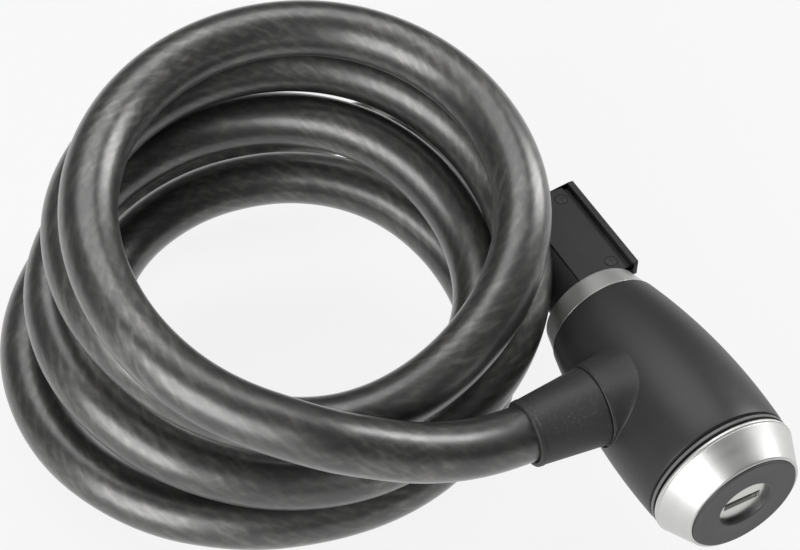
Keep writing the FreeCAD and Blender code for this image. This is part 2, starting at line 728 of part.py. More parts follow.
def arc_points(curve):
    first, last = curve.FirstParameter, curve.LastParameter
    return curve.value(first), curve.value((first + last) / 2), curve.value(last)


def rounded_path(points):
    """Straight runs joined by tangent arcs, each as large as its two runs allow."""
    edges = []
    here = points[0]
    for before, corner, after in zip(points, points[1:], points[2:]):
        a, b = before - corner, after - corner
        half_turn = (math.pi - a.getAngle(b)) / 2
        leg = 0.45 * min(a.Length, b.Length)
        print("tail arc radius %.1f" % (leg / math.tan(half_turn)))
        start, end = corner + a.normalize() * leg, corner + b.normalize() * leg
        bisector = (a.normalize() + b.normalize()).normalize()
        radius = leg / math.tan(half_turn)
        middle = corner + bisector * (radius / math.cos(half_turn) - radius)
        edges += [Part.LineSegment(here, start), Part.Arc(start, middle, end)]
        here = end
    edges.append(Part.LineSegment(here, points[-1]))
    return edges


def tube(edges, dia):
    """A round solid along tangent lines and arcs."""
    path = Part.Wire([e.toShape() for e in edges])
    first = edges[0]
    heading = first.tangent(first.FirstParameter)[0]
    ring = Part.Wire([Part.Circle(first.value(first.FirstParameter), heading, dia / 2).toShape()])
    solid = path.makePipeShell([ring], True, False)
    print("tube length %.1f, volume off by %.4f" % (
        path.Length, solid.Volume / (path.Length * math.pi * dia ** 2 / 4) - 1))
    return solid


cable_dia = d.cable_dia.value
into_cable = Vector(-1, 0, 0)
here = Vector(-cable_start.value, d.boss_station.value, d.boss_lift.value)
heading = into_cable
coil_edges = [Part.LineSegment(here, here + heading * cable_dia)]
here = here + heading * cable_dia
lead, lead_heading = Vector(*LEAD_POINT), Vector(*LEAD_HEADING).normalize()
coil_edges += biarc(here, heading, lead, lead_heading)
here, heading = lead, lead_heading
for k in range(STATIONS):
    at = (k, 0) if k < STATIONS - 1 else (k - 1, LAST_SHARE)
    there, next_heading = coil_point(*at), coil_heading(*at)
    coil_edges += biarc(here, heading, there, next_heading)
    here, heading = there, next_heading
coil_end = here + heading * cable_dia
coil_edges.append(Part.LineSegment(here, coil_end))
coil_curves = [edge.toShape().Curve for edge in coil_edges]
print("coil's least arc radius %.1f" % min(c.Radius for c in coil_curves if isinstance(c, Part.Circle)))


def least_gap(edges, dia, step=2.0, apart=60.0):
    """Least free space between two stretches that lie more than apart along the tube."""
    points = []
    along = 0.0
    for edge in edges:
        length = edge.toShape().Length
        count = max(int(length / step), 1)
        for i in range(count):
            s = edge.FirstParameter + (edge.LastParameter - edge.FirstParameter) * i / count
            points.append((along + length * i / count, edge.value(s)))
        along += length
    least = min((p - q).Length for i, (a, p) in enumerate(points) for b, q in points[:i] if a - b > apart)
    return least - dia


print("coil's least gap to itself %.2f" % least_gap(coil_edges, cable_dia))
coil = doc.addObject("Part::Feature", "cable_coil")
coil.Shape = tube(coil_edges, cable_dia)
node(coil, "cable_coil")

tail_end = Vector(0, plug_end.value, 0)
from_plug = Vector(0, 1, 0)


def tail_point(t):
    """Point a share t of the way along the smooth bend from the coil to the plug."""
    leave, arrive = coil_end + heading * TAIL_PULLS[0], tail_end + from_plug * TAIL_PULLS[1]
    return (coil_end * (1 - t) ** 3 + leave * (3 * t * (1 - t) ** 2) + arrive * (3 * t ** 2 * (1 - t))
            + tail_end * t ** 3)


tail_points = [coil_end, coil_end + heading * TAIL_RUNS[0]]
tail_points += [tail_point(t) for t in TAIL_SHARES]
tail_points += [tail_end + from_plug * TAIL_RUNS[1], tail_end]
tail = doc.addObject("Part::Feature", "cable_tail")
tail_edges = rounded_path(tail_points)
tail.Shape = tube(tail_edges, cable_dia)
node(tail, "cable_tail")
print("gap of tail and coil %.2f" % least_gap(coil_edges + tail_edges, cable_dia))

# Checks, then one file for each sub-part
doc.recompute()
for thing in doc.Objects:
    bad = [word for word in thing.State if word in ("Invalid", "Error")]
    if bad:
        raise RuntimeError("%s failed: %s" % (thing.Name, bad))
for thing in nodes:
    if thing.Shape.isNull() or not thing.Shape.isValid():
        raise RuntimeError("%s has no valid shape" % thing.Label)
    if not thing.Shape.Solids:
        raise RuntimeError("%s has no solid" % thing.Label)
    thing.Shape.exportStep("parts/%s.step" % thing.Label)
    box = thing.Shape.BoundBox
    print("%-16s solids %d volume %9.1f  x %.1f %.1f y %.1f %.1f z %.1f %.1f" % (
        thing.Label, len(thing.Shape.Solids), thing.Shape.Volume,
        box.XMin, box.XMax, box.YMin, box.YMax, box.ZMin, box.ZMax))
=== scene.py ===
# %% [markdown]
# # A coiled cable lock
# The real thing is a barrel-shaped lock head, 1.4 m of thick jacketed steel cable in loose turns, and a plug
# on the cable's free end that locks into the head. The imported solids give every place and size, and this
# lesson gives the visible parts their rounded edges, their small details and their finishes. We start with
# the frame, because everything else is placed in it, in metres.

# %% Frame
import math
import bpy
import bmesh
import numpy as np
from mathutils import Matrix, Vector


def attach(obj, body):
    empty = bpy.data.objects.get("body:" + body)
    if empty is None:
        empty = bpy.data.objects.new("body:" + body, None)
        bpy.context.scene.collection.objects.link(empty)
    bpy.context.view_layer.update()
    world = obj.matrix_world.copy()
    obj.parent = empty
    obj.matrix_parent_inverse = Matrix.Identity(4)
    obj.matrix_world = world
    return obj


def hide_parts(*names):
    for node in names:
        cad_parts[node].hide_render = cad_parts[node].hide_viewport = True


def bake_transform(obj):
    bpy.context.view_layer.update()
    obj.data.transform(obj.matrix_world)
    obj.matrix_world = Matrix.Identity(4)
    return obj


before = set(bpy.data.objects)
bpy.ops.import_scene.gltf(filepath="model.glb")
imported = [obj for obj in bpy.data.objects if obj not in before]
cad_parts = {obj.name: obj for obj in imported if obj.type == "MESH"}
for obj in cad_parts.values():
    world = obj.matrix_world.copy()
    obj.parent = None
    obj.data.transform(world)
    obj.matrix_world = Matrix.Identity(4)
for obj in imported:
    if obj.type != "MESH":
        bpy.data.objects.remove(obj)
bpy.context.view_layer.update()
scene = bpy.context.scene
scene.view_settings.view_transform = "Standard"
MM = 0.001

# %% [markdown]
# The camera stands where the photographer's did: in front, to the left and well above, with a long lens.
# It was placed by matching the outlines of the barrel and of each turn of cable.

# %% Camera
EYE = Vector((-0.15745, -0.1548, 0.30125))
AIM = Vector((-0.0206, 0.1092, -0.029))
LENS, SENSOR = 82.6, 36              # millimetres
camera = bpy.data.objects.new("camera", bpy.data.cameras.new("camera"))
camera.data.lens = LENS
camera.data.sensor_width = SENSOR
camera.location = EYE
camera.rotation_euler = (AIM - EYE).to_track_quat("-Z", "Y").to_euler()
scene.collection.objects.link(camera)
scene.camera = camera
print("camera", round((AIM - EYE).length, 3), "m from what it looks at")

# %% [markdown]
# The cable leaves the sleeve, makes four and a half loose turns that settle towards the table, and bends
# into the plug. Two tables say, quarter turn by quarter turn, how far it runs from the coil's centre and how
# high it lies. A smooth curve through those stations gives sixteen points a turn, which will be the control
# points of a spline. The spline passes inside them by an eighth of their bend, so each one is first pushed
# out by that much.

# %% Route of the cable
CABLE_RADIUS = 6.0 * MM
AXIS_LIFT = 29.0                     # height of the barrel's axis over the table
COIL_CENTRE = np.array([-51.3, 86.0])
FIRST_TURN = -90 - 27.4              # direction of the first station, in degrees
REACH = {"front": (51.5, 38.5, 39.2, 27, 39), "left": (46, 52, 58, 50, 67),
         "back": (43, 45, 38, 38, 60.5), "right": (42, 43.2, 34, 37)}
LIFT = {"front": (50, 36, 18.6, 12.8, 6), "left": (67, 54, 37, 24, 13.6),
        "back": (70.5, 57.8, 47, 29, 21.4), "right": (56, 37.4, 27.8, 12)}
SIDES = ("front", "left", "back", "right")
STATIONS = 19
LAST_STEP = 17.82                    # the coil stops short of its last station, and the tail takes over
POINTS_PER_QUARTER = 4
MOUTH = (-32.4, 31.8, 5.4)
LEAD = [(-20.4, 31.8, 5.4), MOUTH, (-44.2, 32.0, 7.7), (-55.6, 33.2, 12.0), (-65.4, 36.0, 16.6)]
COIL_END = (-27.8, 143.3, -8.2)
TAIL = [COIL_END, (-18.3, 140.3, -7.1), (-9.9, 134.4, -5.3), (-2.9, 124.0, -2.8), (-0.3, 110.3, -0.8),
        (0, 99.8, 0), (0, 91.8, 0)]


def eased(table, s):
    """Value of a table at station s: a cubic between neighbours, with slopes from the stations beside them."""
    values = np.array([table[SIDES[k % 4]][k // 4] for k in range(STATIONS)], float)
    slope = np.gradient(values)
    k = np.minimum(s.astype(int), STATIONS - 2)
    t = s - k
    return ((2 * t**3 - 3 * t**2 + 1) * values[k] + (t**3 - 2 * t**2 + t) * slope[k]
            + (3 * t**2 - 2 * t**3) * values[k + 1] + (t**3 - t**2) * slope[k + 1])


steps = np.append(np.arange(0, LAST_STEP - 0.2, 1 / POINTS_PER_QUARTER), LAST_STEP)
turn = np.radians(FIRST_TURN - 90 * steps)
reach = eased(REACH, steps)
coil = np.c_[COIL_CENTRE[0] + reach * np.cos(turn), COIL_CENTRE[1] + reach * np.sin(turn),
             eased(LIFT, steps) - AXIS_LIFT]
route = np.vstack([LEAD, coil, TAIL])
route[2:-2] -= (route[1:-3] - 2 * route[2:-2] + route[3:-1]) / 8
route *= MM
print("route points", len(route))

# %% [markdown]
# Joined by straight lines, those points would show every corner in the gloss of the cable. A NURBS spline
# takes them as control points and makes one flowing line. It is cut where the coil ends, so that the tail
# is a piece of its own.


# %% Spline of the cable
def line_of(name, points, fineness):
    """Points of the NURBS line, of order 3, whose control points are given."""
    curve = bpy.data.curves.new(name, "CURVE")
    curve.dimensions = "3D"
    curve.resolution_u = fineness
    spline = curve.splines.new("NURBS")
    spline.points.add(len(points) - 1)
    spline.points.foreach_set("co", np.c_[points, np.ones(len(points))].ravel())
    spline.order_u = 3
    spline.use_endpoint_u = True
    thing = bpy.data.objects.new(name, curve)
    mesh = bpy.data.meshes.new_from_object(thing)
    line = np.zeros(len(mesh.vertices) * 3)
    mesh.vertices.foreach_get("co", line)
    bpy.data.objects.remove(thing)
    return line.reshape(-1, 3)


def length_of(line):
    """Sum of the steps from point to point."""
    return float(np.linalg.norm(np.diff(line, axis=0), axis=1).sum())


line = line_of("cable_line", route, fineness=14)
split = int(np.argmin(np.linalg.norm(line - np.array(COIL_END) * MM, axis=1)))
coil_line, tail_line = line[:split + 1], line[split:]
print("cable %.3f m, of which the tail %.3f m" % (length_of(line), length_of(tail_line)))

# %% [markdown]
# Every new piece is a grid of points, worked out as whole arrays. One helper turns a grid into a closed mesh
# with a map, and another makes the mesh an object with its finish. Faces that meet at a steep angle keep a
# sharp edge between them, and all others are shaded as one smooth surface.

# %% Skin of a grid
SAME_PLACE = 1e-7                    # metres between corners that are merged
SHARP_ANGLE = math.radians(48)


def skin(name, grid, v=None, u=None, ring=True, loop=False):
    """Mesh over rows and columns of points. The last column joins the first where ring is set, and the last
    row the first where loop is set. Otherwise the first and last rows are closed by faces."""
    rows, columns = grid.shape[:2]
    u = np.linspace(0, 1, columns + 1) if u is None else u
    v = np.linspace(0, 1, rows + 1) if v is None else v
    index = np.arange(rows * columns).reshape(rows, columns)
    r = np.arange(rows if loop else rows - 1)[:, None]
    c = np.arange(columns if ring else columns - 1)[None, :]
    corners = [(r, c), (r, c + 1), (r + 1, c + 1), (r + 1, c)]
    faces = np.stack([index[a % rows, b % columns] for a, b in corners], -1).reshape(-1, 4)
    chart = np.stack([np.stack(np.broadcast_arrays(u[b], v[a]), -1) for a, b in corners], -2).reshape(-1, 2)
    mesh = bpy.data.meshes.new(name)
    caps = [] if loop or not ring else [index[0, ::-1].tolist(), index[-1].tolist()]
    mesh.from_pydata(grid.reshape(-1, 3).tolist(), [], faces.tolist() + caps)
    layer = mesh.uv_layers.new(name="lay")
    full = np.zeros((len(mesh.loops), 2))
    full[:len(chart)] = chart
    layer.data.foreach_set("uv", full.ravel())
    work = bmesh.new()
    work.from_mesh(mesh)
    bmesh.ops.remove_doubles(work, verts=work.verts, dist=SAME_PLACE)
    bmesh.ops.recalc_face_normals(work, faces=work.faces)
    work.to_mesh(mesh)
    work.free()
    mesh.shade_smooth()
    mesh.set_sharp_from_angle(angle=SHARP_ANGLE)
    return mesh


def show(name, mesh, finish, body, replaces=()):
    """Object for a mesh, with its material and the body that it rides on."""
    piece = bpy.data.objects.new(name, mesh)
    scene.collection.objects.link(piece)
    mesh.materials.append(finish)
    if body:
        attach(piece, body)
    if replaces:
        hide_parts(*replaces)
    print("%-14s %6d faces" % (name, len(mesh.polygons)))
    return piece


# %% [markdown]
# Rounded edges matter most for looks, since no moulded or turned part has a knife edge, and each one catches
# a thin line of light. So the corners of a profile carry the length that is cut back and rounded. A profile
# is then either turned round an axis or pushed along the barrel. A bevel modifier would round edges too, but
# by one width for a whole piece.

# %% Profiles
ROUND_STEPS = np.array([-0.12, 0, 0.2, 0.4, 0.6, 0.8, 1, 1.12])
LEAST_STEP = 1e-5                    # millimetres between neighbours on an outline
BOSS_STATION, BOSS_LIFT = 31.8, 5.4  # where the cable enters: along the barrel, and over its axis
BARREL = ((0, 0, 0), (0, 1, 0), (1, 0, 0), (0, 0, 1))
BOSS_AXIS = ((0, BOSS_STATION, BOSS_LIFT), (-1, 0, 0), (0, 1, 0), (0, 0, 1))


def rounded(corners):
    """Outline whose corners (x, y, cut) are rounded: corner + cut ((1-t)^2 back + t^2 ahead), for t from 0 to
    1 and a little beyond, so that the flats beside an arc keep their own shading."""
    corners = np.array(corners, float)
    points, cuts = corners[:, :2], corners[:, 2:]
    back, ahead = np.roll(points, 1, 0) - points, np.roll(points, -1, 0) - points
    back /= np.linalg.norm(back, axis=1, keepdims=True)
    ahead /= np.linalg.norm(ahead, axis=1, keepdims=True)
    t = ROUND_STEPS[None, :, None]
    arcs = points[:, None] + cuts[:, None] * ((1 - t)**2 * back[:, None] + t**2 * ahead[:, None])
    outline = arcs.reshape(-1, 2)
    keep = np.linalg.norm(outline - np.roll(outline, 1, 0), axis=1) > LEAST_STEP
    return outline[keep]


def turned_skin(name, corners, axis=BARREL, around=160):
    """Ring for each profile point (r, s): start + s along + r (cos a side + sin a top), in millimetres."""
    profile = rounded(corners)
    start, along, side, top = (np.array(v, float) for v in axis)
    a = np.linspace(0, 2 * math.pi, around, endpoint=False)[None, :, None]
    r, s = profile[:, 0][:, None, None], profile[:, 1][:, None, None]
    return skin(name, (start + s * along + r * (np.cos(a) * side + np.sin(a) * top)) * MM, loop=True)


def pushed_skin(name, corners, start, end, bevel):
    """Outline (x, z) at stations along the barrel. Near both ends it shrinks along its own normals by the
    bevel times 1 - sqrt(1 - t^2), which rounds the edge. Two stations just inside keep the flats flat."""
    outline = rounded(corners)
    heading = np.roll(outline, -1, 0) - np.roll(outline, 1, 0)
    inward = np.c_[-heading[:, 1], heading[:, 0]] / np.linalg.norm(heading, axis=1)[:, None]
    area = np.sum(outline[:, 0] * np.roll(outline[:, 1], -1) - outline[:, 1] * np.roll(outline[:, 0], -1))
    inward *= np.sign(area)
    t = np.linspace(1, 0, 5)
    shrink = bevel * (1 - np.sqrt(1 - t**2))
    shrink = np.concatenate([shrink, [0, 0], shrink[::-1]])
    inside = 1.3 * bevel
    station = np.concatenate([start + bevel * (1 - t), [start + inside, end - inside], end - bevel * (1 - t[::-1])])
    flat = outline[None] + shrink[:, None, None] * inward[None]
    y = np.broadcast_to(station[:, None], flat.shape[:2])
    return skin(name, np.stack([flat[..., 0], y, flat[..., 1]], -1) * MM)


# %% [markdown]
# Materials are sums on patterns, so the shader maths is written as plain expressions. One class wraps a
# node's socket: adding two of them, multiplying them or raising one to a power adds the Math node that does
# it. Written out node by node, the same sums would take four lines for each sign.


# %% Values in a shader
class Wire:
    """A value that flows between nodes."""

    def __init__(self, finish, socket):
        self.finish = finish
        self.socket = socket

    def math(self, operation, other=None):
        values = [v for v in (self, other) if v is not None]
        return self.finish.node("ShaderNodeMath", {"operation": operation}, dict(enumerate(values)))

    def __add__(self, other):
        return self.math("ADD", other)

    def __sub__(self, other):
        return self.math("SUBTRACT", other)

    def __rsub__(self, other):
        return (self * -1) + other

    def __mul__(self, other):
        return self.math("MULTIPLY", other)

    def __pow__(self, other):
        return self.math("POWER", other)

    __radd__ = __add__
    __rmul__ = __mul__

    def clamp(self, low=0.0, high=1.0):
        return self.math("MAXIMUM", low).math("MINIMUM", high)


# %% [markdown]
# A second class is the material itself. What is the same all over goes on the Principled shader's sockets
# as a number, and what changes over the surface is fed to them as a value from the class above. Any node that
# isn't a sum comes from one method.


# %% Material
class Finish:
    """A material with one Principled shader. Numbers that are the same all over go on its sockets directly."""

    def __init__(self, name, **constants):
        self.material = bpy.data.materials.new(name)
        self.material.use_nodes = True
        self.tree = self.material.node_tree
        self.shader = self.tree.nodes["Principled BSDF"]
        for key, value in constants.items():
            self.feed(key.replace("_", " ").title().replace("Ior", "IOR"), value)

    def feed(self, socket, value):
        target = self.shader.inputs[socket]
        if isinstance(value, Wire):
            self.tree.links.new(value.socket, target)
        elif target.type == "RGBA":
            target.default_value = (value, value, value, 1) if isinstance(value, float) else (*value, 1)
        else:
            target.default_value = value

    def node(self, kind, settings=None, sockets=None, output=0):
        """Adds a node, sets its settings, then its sockets' values or links."""
        made = self.tree.nodes.new(kind)
        for key, value in (settings or {}).items():
            setattr(made, key, value)
        for key, value in (sockets or {}).items():
            if isinstance(value, Wire):
                self.tree.links.new(value.socket, made.inputs[key])
            else:
                made.inputs[key].default_value = value
        return Wire(self, made.outputs[output])

    def place(self, output="Object"):
        return self.node("ShaderNodeTexCoord", output=output)

    def parts(self, vector):
        first = self.node("ShaderNodeSeparateXYZ", sockets={0: vector})
        return [Wire(self, s) for s in first.socket.node.outputs]

    def joined(self, x, y, z):
        return self.node("ShaderNodeCombineXYZ", sockets={0: x, 1: y, 2: z})

    def noise(self, vector, scale, detail=3.0, roughness=0.5):
        return self.node("ShaderNodeTexNoise", sockets={"Vector": vector, "Scale": scale, "Detail": detail,
                                                         "Roughness": roughness})

    def shade(self, factor, dark, light):
        """Colour between two greys or colours."""
        dark, light = [(c, c, c, 1) if isinstance(c, float) else (*c, 1) for c in (dark, light)]
        return self.node("ShaderNodeMix", {"data_type": "RGBA"}, {0: factor, 6: dark, 7: light}, output=2)

    def bump(self, height, depth, strength=1.0):
        """Relief of a given depth in metres."""
        normal = self.node("ShaderNodeBump", sockets={"Height": height, "Distance": depth, "Strength": strength})
        self.feed("Normal", normal)


# %% [markdown]
# The cable's jacket is clear plastic with a smoke tint over braided steel. A glass shell over a braid would
# be exact, but it is slow and noisy, so the braid is the base layer, dark and mostly metallic, and a clear
# coat over it gives the smooth gloss. The braid follows the piece's own map: u runs once round, v along in
# the same unit. Two families of strands cross at a flat angle, and the clear plastic blurs them to short,
# soft dashes.

# %% Jacket
STRANDS = 16                         # round the cable, in each family
STRAND_SLANT = 0.47                  # turns that a strand makes while it runs the cable's own girth
DASH_ROUND, DASH_ALONG = 4, 11       # how finely the dashes are broken up
FAR_AWAY = 40.0                      # keeps the second family's noise apart from the first's


def jacket_finish():
    """Dashes: noise stretched along a helix, on the points (4 cos t, 4 sin t, 11 v) with t = 2 pi (u + slant v),
    times the sine of a strand's width. Two such families lean opposite ways."""
    f = Finish("jacket", metallic=0.8, coat_weight=1.0, coat_roughness=0.30, coat_ior=1.55, roughness=0.46)
    u, v, _ = f.parts(f.place("UV"))
    where = f.place()
    wander = f.noise(where, scale=200.0, detail=2.0) - 0.5
    dashes = []
    for slant, far in ((STRAND_SLANT, 0.0), (-STRAND_SLANT, FAR_AWAY)):
        turn = (u + v * slant) * (2 * math.pi)
        spot = f.joined(turn.math("COSINE") * DASH_ROUND, turn.math("SINE") * DASH_ROUND, v * DASH_ALONG + far)
        strand = ((u * STRANDS + v * (STRANDS * slant) + wander).math("FRACT") * math.pi).math("SINE")
        dashes.append(((f.noise(spot, scale=1.0, detail=1.5) - 0.42) * 4).clamp() * (strand * 0.7 + 0.3))
    patch = ((f.noise(where, scale=50.0, detail=3.0) - 0.36) * 3.4).clamp()
    # The second family counts only 0.4: painted shade, darker for the strands that lean away from the light.
    tone = ((dashes[0] + dashes[1] * 0.4) * (patch * 0.7 + 0.3) * 0.8 + patch * 0.1).clamp()
    f.feed("Base Color", f.shade(tone, 0.048, (0.150, 0.148, 0.138)))
    f.bump(tone, depth=0.00005, strength=0.4)
    return f.material


jacket = jacket_finish()
print("jacket", len(jacket.node_tree.nodes), "nodes")

# %% [markdown]
# The moulded parts are satin plastic: fine grain in the bump, and a slow change of gloss where hands rub it.
# The sleeve and the boss are rougher and show pale scuffs on top. One recipe with a few numbers gives them
# all, so that they look like mouldings of one maker.


# %% Plastics
def plastic_finish(name, tone, rough, scuff=0.0, shine=0.4):
    """Tone varies by a fifth either way and roughness by 0.04. Scuffs are fine noise inside slow patches."""
    f = Finish(name, specular_ior_level=shine)
    where = f.place()
    grain = f.noise(where, scale=2600.0, detail=2.0)
    slow = f.noise(where, scale=90.0, detail=4.0)
    specks = ((f.noise(where, scale=1500.0, detail=5.0, roughness=0.7) - 0.55) * 5).clamp()
    worn = specks * ((slow - 0.34) * 5).clamp() * scuff
    f.feed("Base Color", f.shade((slow * 0.6 + worn).clamp(), tone * 0.8, tone * 1.2 + 0.035 * scuff))
    f.feed("Roughness", rough + slow * 0.08 - 0.04 + worn * 0.1)
    f.bump(grain + worn * 0.5, depth=0.00003, strength=0.4)
    return f.material


cover_plastic = plastic_finish("cover_plastic", 0.026, 0.42)
sleeve_plastic = plastic_finish("sleeve_plastic", 0.018, 0.50, scuff=1.0)
shoe_plastic = plastic_finish("shoe_plastic", 0.013, 0.55, scuff=0.8)
# Near black: the band's own colour, and, round the screws, painted shade of the sinks.
band_and_sink_shade = plastic_finish("band_and_sink_shade", 0.004, 0.5, shine=0.1)
satin_grey = plastic_finish("satin_grey", 0.14, 0.4)
print("plastics", [m.name for m in (cover_plastic, sleeve_plastic, shoe_plastic, band_and_sink_shade, satin_grey)])

# %% [markdown]
# Turned metal keeps the marks of the tool as fine lines round the axis. The distance from the barrel's axis
# plus the place along it is the same all along such a line, on a cone as on a flat face, so one noise on that
# number, hardly changing round the axis, draws them on every ring and disc.

# %% Metals
FINE_LINES, BROAD_LINES = 9000, 400  # per metre across the lines
FINE_DRIFT, BROAD_DRIFT = 40, 60     # per metre along them


def metal_finish(name, tone, rough, lines=1.0, metallic=1.0):
    """Lines follow sqrt(x^2 + z^2) + y. They change the tone, the roughness and the relief."""
    f = Finish(name, metallic=metallic)
    x, y, z = f.parts(f.place())
    line = (x * x + z * z) ** 0.5 + y
    fine = f.noise(f.joined(x * FINE_DRIFT, line * FINE_LINES, z * FINE_DRIFT), scale=1.0, detail=3.0)
    broad = f.noise(f.joined(x * BROAD_DRIFT, line * BROAD_LINES, z * BROAD_DRIFT), scale=1.0, detail=2.0)
    dark, light = [tuple(c * k for c in tone) for k in (0.86, 1.05)]
    f.feed("Base Color", f.shade((fine * 0.7 + broad * 0.3).clamp(), dark, light))
    f.feed("Roughness", (rough + (fine - 0.5) * 0.22 * lines + (broad - 0.5) * 0.1).clamp(0.05, 1))
    f.bump(fine, depth=0.00002, strength=0.35 * lines)
    return f.material


ring_metal = metal_finish("ring_metal", (0.64, 0.64, 0.63), 0.44)
bright_plate = metal_finish("bright_plate", (0.66, 0.66, 0.63), 0.30, lines=0.5)
hard_steel = metal_finish("hard_steel", (0.55, 0.56, 0.57), 0.32)
cylinder_brass = metal_finish("cylinder_brass", (0.78, 0.58, 0.30), 0.34)
cast_alloy = metal_finish("cast_alloy", (0.45, 0.45, 0.46), 0.52, lines=0.3)
strand_steel = metal_finish("strand_steel", (0.42, 0.42, 0.42), 0.42)
black_screw = metal_finish("black_screw", (0.05, 0.05, 0.05), 0.45, lines=0.3, metallic=0.5)
face_coating = metal_finish("face_coating", (0.052, 0.052, 0.053), 0.46, lines=0.5, metallic=0.15)
print("materials so far", len(bpy.data.materials))

# %% [markdown]
# The cable is a round tube on its spline. A curve's own bevel would do, but it gives no map for the braid.
# Each ring stands square to the heading, with its side level, so the braid never twists against the tube.
# The last stretch, from the end of the coil to the plug, is a mesh of its own that rides on no body, while
# the coil rides on the head.


# %% Cable
def tube_skin(name, points, radius, start, around=44):
    """Ring at each point: side = heading x up, top = side x heading, radius (cos a side + sin a top)."""
    heading = np.gradient(line, axis=0)[start:start + len(points)]
    heading /= np.linalg.norm(heading, axis=1, keepdims=True)
    side = np.cross(heading, (0, 0, 1))
    side /= np.linalg.norm(side, axis=1, keepdims=True)
    top = np.cross(side, heading)
    a = np.linspace(0, 2 * math.pi, around, endpoint=False)[None, :, None]
    grid = points[:, None] + radius * (np.cos(a) * side[:, None] + np.sin(a) * top[:, None])
    run = np.concatenate([[0], np.cumsum(np.linalg.norm(np.diff(line, axis=0), axis=1))])
    return skin(name, grid, v=run[start:start + len(points)] / (2 * math.pi * radius))


cable = show("cable", tube_skin("cable", coil_line, CABLE_RADIUS, 0), jacket, "head", ["cable_coil"])
cable_end = show("cable_end", tube_skin("cable_end", tail_line, CABLE_RADIUS, split), jacket, None,
                 ["cable_tail"])
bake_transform(cable_end)

# %% [markdown]
# The cover is a turned shell with a slightly swollen outline. Its front edge steps down into a narrow dark
# band before the bright ring, and both lips are rounded. The band is a ring of its own, with a thin grey lip
# that stands in it.

# %% Barrel cover
COVER_FRONT, COVER_REAR, BAND_END = 8.3, 53.0, 9.8
FRONT_RADIUS, REAR_RADIUS, SWELL = 16.1, 13.0, 140.0
FRONT_BORE, REAR_BORE, BORE_STEP = 13.3, 10.8, 26.1


def cover_radius(y):
    """Outer radius at station y: an arc of the swell's radius through the front's and the rear's radius."""
    a, b = np.array([FRONT_RADIUS, COVER_FRONT]), np.array([REAR_RADIUS, COVER_REAR])
    chord = b - a
    inward = np.array([-chord[1], chord[0]]) / np.linalg.norm(chord)
    centre = (a + b) / 2 + inward * math.sqrt(SWELL**2 - chord @ chord / 4)
    return centre[0] + np.sqrt(SWELL**2 - (np.asarray(y, float) - centre[1])**2)


stations = np.linspace(BAND_END + 1.0, COVER_REAR - 0.8, 24)
cover_corners = ([(FRONT_BORE, COVER_FRONT, 0.2), (15.75, COVER_FRONT, 0.3), (15.85, BAND_END, 0.12),
                  (float(cover_radius(BAND_END)) - 0.12, BAND_END, 0.25)]
                 + [(float(cover_radius(y)), y, 0.0) for y in stations]
                 + [(REAR_RADIUS, COVER_REAR, 0.45), (REAR_BORE, COVER_REAR, 0.2), (REAR_BORE, BORE_STEP, 0.2),
                    (FRONT_BORE, BORE_STEP, 0.2)])
show("cover", turned_skin("cover", cover_corners, around=200), cover_plastic, "head", ["barrel_cover"])
show("gasket", turned_skin("gasket", [
    (13.5, 8.0, 0.1), (15.9, 8.0, 0.15), (15.95, 9.72, 0.15), (13.5, 9.72, 0.1)]),
    band_and_sink_shade, "head")
show("lip", turned_skin("lip", [
    (15.0, 8.55, 0.1), (16.12, 8.55, 0.12), (16.16, 9.2, 0.12), (15.0, 9.2, 0.1)], around=200),
    satin_grey, "head")

# %% [markdown]
# The boss grows out of the cover's side and takes the cable's sleeve. A cylinder that merely pokes into the
# barrel leaves a hard line, so its wall ends in a small fillet: a curve from the wall down to the barrel's own
# surface, worked out for every direction round the boss. Its root is a little squarer than round.

# %% Boss
BOSS_REACH, BOSS_BORE, BOSS_RADIUS = 16.7, 5.4, 8.7
BOSS_RIM = 0.4
WALL_SQUARE, ROOT_SQUARE = 2.2, 2.7  # 2 is a circle, more is squarer


def boss_skin(name):
    """Rows round the boss: end face, rounded rim, wall, then the fillet (1-t)^2 wall + 2t(1-t) foot + t^2
    barrel, where a point of the barrel has x = -sqrt(R(y)^2 - z^2)."""
    a = np.linspace(0, 2 * math.pi, 120, endpoint=False)

    def on_barrel(rho):
        y, z = BOSS_STATION + rho * np.cos(a), BOSS_LIFT + rho * np.sin(a)
        big = cover_radius(y)
        z = np.clip(z, -0.985 * big, 0.985 * big)
        return np.stack([-np.sqrt(big**2 - z**2), y, z], -1)

    def ring_at(rho, x):
        y, z = BOSS_STATION + rho * np.cos(a), BOSS_LIFT + rho * np.sin(a)
        return np.stack([np.broadcast_to(x, a.shape), y, z], -1)

    def squarer(rho, power):
        """Radius rho (|cos|^p + |sin|^p)^(-1/p): a circle at p = 2, a square with round corners above."""
        return rho * (np.abs(np.cos(a))**power + np.abs(np.sin(a))**power)**(-1 / power)

    past_rim = BOSS_RIM * 1.2
    rows = [ring_at(BOSS_BORE, -BOSS_REACH + 1), ring_at(BOSS_BORE, -BOSS_REACH),
            ring_at(BOSS_RADIUS - past_rim, -BOSS_REACH)]
    for t in np.linspace(0, 1, 6):
        rows.append(ring_at(BOSS_RADIUS - BOSS_RIM * (1 - t)**2, -BOSS_REACH + BOSS_RIM * t**2))
    foot = on_barrel(squarer(BOSS_RADIUS - 0.1, ROOT_SQUARE))
    wall = ring_at(squarer(BOSS_RADIUS, WALL_SQUARE), np.minimum(foot[:, 0] - 0.6, -BOSS_REACH + past_rim))
    out = on_barrel(squarer(BOSS_RADIUS + 0.25, ROOT_SQUARE))
    for t in np.linspace(0, 1, 9):
        rows.append((1 - t)**2 * wall + 2 * t * (1 - t) * foot + t**2 * out)
    rows.append(out * np.array([0.93, 1, 0.93]))
    return skin(name, np.array(rows) * MM)


show("boss", boss_skin("boss"), sleeve_plastic, "head")

# %% [markdown]
# The sleeve is a tapered moulding with a lip at its mouth. The bright rings are plain turned cones, the face
# a flat disc with a softened hole. All four are profiles of radius and station, with the length that each
# corner is rounded by.

